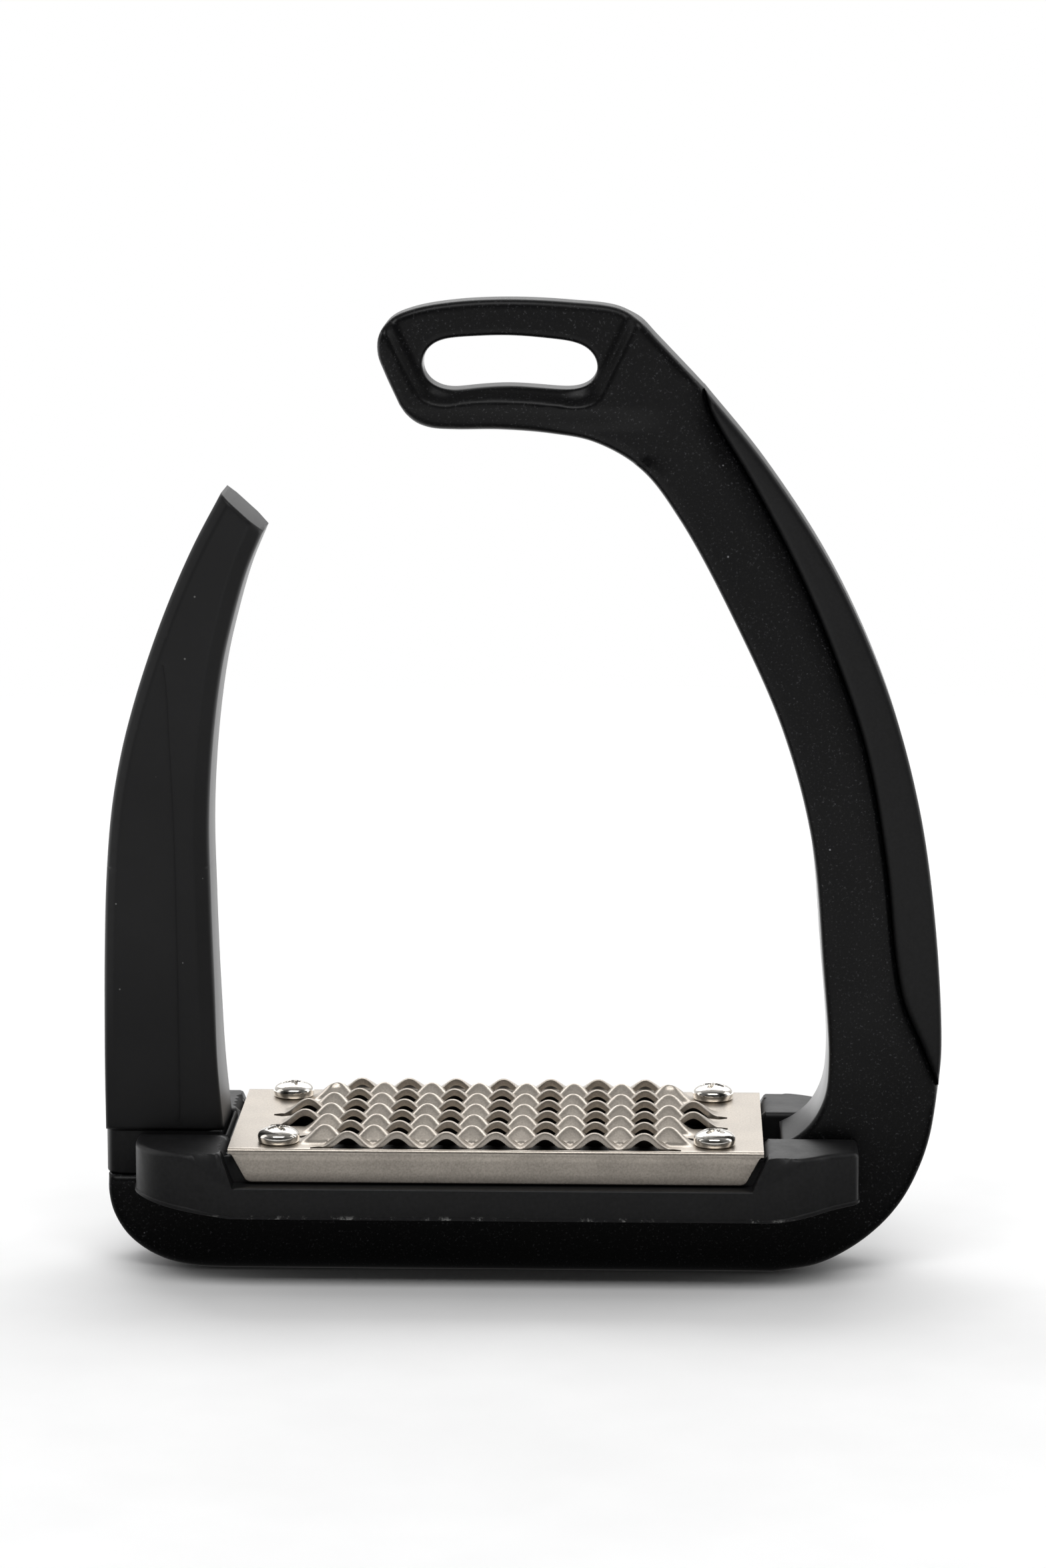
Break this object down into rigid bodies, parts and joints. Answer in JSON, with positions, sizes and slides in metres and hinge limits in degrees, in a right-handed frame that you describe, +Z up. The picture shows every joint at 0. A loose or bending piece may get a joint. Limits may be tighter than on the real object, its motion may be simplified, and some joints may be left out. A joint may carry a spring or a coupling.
{
  "type": "safety stirrup iron",
  "caption": "Riding stirrup iron: an aluminium side with a strap eye, a toothed steel tread in a plastic tray, and a flexible outer arm that bends away to free the foot.",
  "frame": {"origin": "centre of the flat underside, at the bottom centre of the whole stirrup's box", "axes": "+Z up towards the strap eye, +X across the foot opening towards the fixed aluminium branch with the flexible arm at -X, Y through the thickness"},
  "size_m": [0.1647, 0.0566, 0.1916],
  "materials": {
    "black_aluminium": "fine-blasted, black anodised, satin",
    "black_trim": "fine matte, moulded",
    "black_tray": "moulded, semi-matte",
    "black_rubber": "matte",
    "blasted_steel": "bead-blasted stainless",
    "bright_screw": "bright nickel",
    "plain_steel": "plain",
    "brass_insert": "turned",
    "arm_elastomer": "matte moulded elastomer"
  },
  "bodies": {
    "stirrup": {"frame": "black_aluminium", "branch_trim": "black_trim", "trim_pegs": "plain_steel", "tread_base": "black_tray", "tread_gasket": "black_rubber", "tread_plate": "blasted_steel", "tread_screws": "bright_screw", "tread_inserts": "plain_steel", "arm_collar": "black_trim", "arm_core": "black_tray", "arm_screws": "bright_screw", "arm_washers": "plain_steel", "arm_plugs": "black_rubber", "arm_bushes": "brass_insert", "arm_root": "arm_elastomer", "blade_root": "plain_steel"},
    "arm_middle": {"arm_lower": "arm_elastomer", "blade_lower": "plain_steel"},
    "arm_tip": {"arm_upper": "arm_elastomer", "blade_upper": "plain_steel"}
  },
  "joints": [
    {"name": "arm_bend_low", "type": "hinge", "parent": "stirrup", "child": "arm_middle", "pos_m": [-0.07135, 0, 0.06], "axis": [0, -1, 0], "range_deg": [-6, 35], "stiffness_Nm_per_rad": 3},
    {"name": "arm_bend_high", "type": "hinge", "parent": "arm_middle", "child": "arm_tip", "pos_m": [-0.0694, 0, 0.101], "axis": [0, -1, 0], "range_deg": [-6, 35], "stiffness_Nm_per_rad": 3}
  ],
  "couplings": [
    {"joint": "arm_bend_high", "follows": "arm_bend_low", "ratio": 1}
  ]
}
